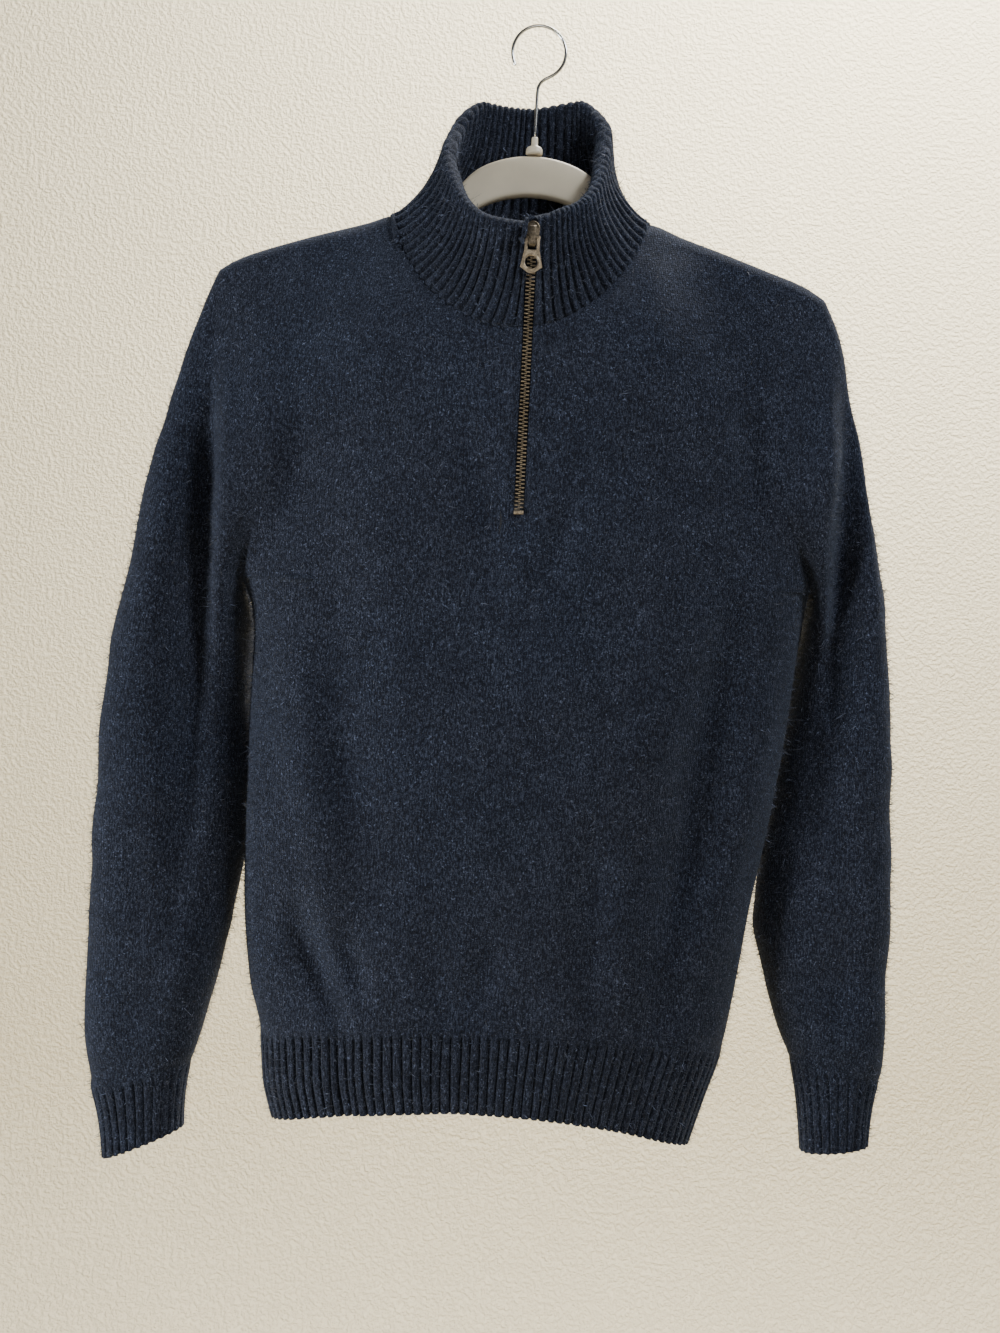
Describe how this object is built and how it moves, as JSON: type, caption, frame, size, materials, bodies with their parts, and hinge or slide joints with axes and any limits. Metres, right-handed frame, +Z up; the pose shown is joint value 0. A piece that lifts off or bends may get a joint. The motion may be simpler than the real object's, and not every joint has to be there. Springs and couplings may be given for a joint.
{
  "type": "quarter zip sweater on hanger",
  "caption": "Long-sleeved wool sweater with a ribbed stand-up collar and a short front zip, hanging open at hem, cuffs and neck on a coat hanger with a wire hook.",
  "frame": {"origin": "the inner top of the hanger's hook, where a rail carries it", "axes": "+Z up, +X to the right as seen from the front, the front of the sweater faces -Y"},
  "size_m": [0.5515, 0.123, 0.795],
  "materials": {
    "knit": "soft heathered navy wool, matt with a light nap",
    "rib": "ribbed heathered navy wool",
    "tape": "dark woven zip tape",
    "metal": "antique brass, darkened",
    "plastic": "pale beige, slightly glossy",
    "wire": "bright round wire"
  },
  "bodies": {
    "sweater": {"front": "knit", "back": "knit", "sleeve_left": "knit", "sleeve_right": "knit", "hem_front": "rib", "hem_back": "rib", "cuff_left": "rib", "cuff_right": "rib", "collar": "rib", "zip_tape": "tape", "zip_teeth": "metal", "zip_stop": "metal", "zip_slider": "metal", "hanger": "plastic", "hanger_boss": "plastic", "hanger_hook": "wire"},
    "tab": {"pull_tab": "metal"}
  },
  "joints": [
    {"name": "pull_tab_hinge", "type": "hinge", "parent": "sweater", "child": "tab", "pos_m": [0.0015, -0.06009, -0.1593], "axis": [-1, 0, 0], "range_deg": [-4, 175]}
  ]
}
